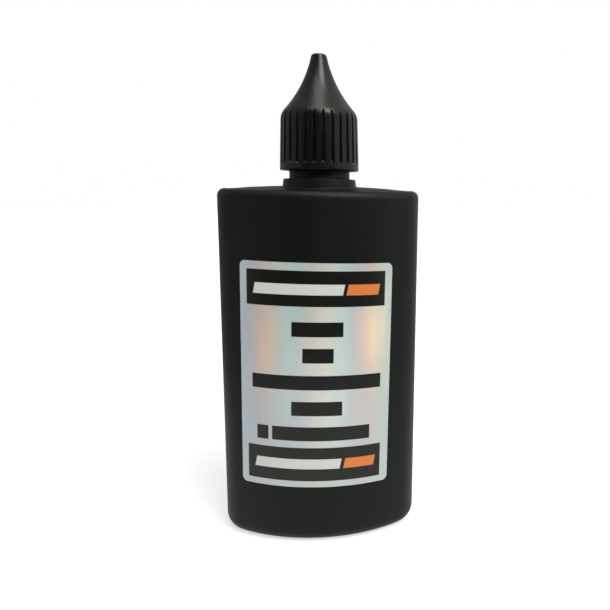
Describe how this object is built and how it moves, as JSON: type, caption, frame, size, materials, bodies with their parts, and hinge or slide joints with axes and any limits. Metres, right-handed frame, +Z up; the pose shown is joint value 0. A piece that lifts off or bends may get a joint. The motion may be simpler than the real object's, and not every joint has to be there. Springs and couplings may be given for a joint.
{
  "type": "chain lube bottle",
  "caption": "Oval black squeeze bottle with a push-in dropper nozzle under a ribbed spire screw cap, and a plain holographic front label.",
  "frame": {"origin": "middle of the base, on the surface the bottle stands on", "axes": "+Z up through the neck and cap, +X along the width of the body, -Y towards the label"},
  "size_m": [0.054, 0.0284, 0.1307],
  "materials": {
    "bottle_plastic": "satin blown polyethylene, near black",
    "dropper_plastic": "milky natural polyethylene",
    "cap_plastic": "moulded polypropylene with a soft gloss, near black",
    "label_film": "silver holographic film with plain printed fields"
  },
  "bodies": {
    "bottle": {"bottle": "bottle_plastic", "dropper_insert": "dropper_plastic", "label": "label_film"},
    "cap": {"cap": "cap_plastic"}
  },
  "joints": [
    {"name": "cap_lift", "type": "slide", "parent": "bottle", "child": "cap", "axis": [0, 0, 1], "range_m": [0, 0.035]}
  ]
}
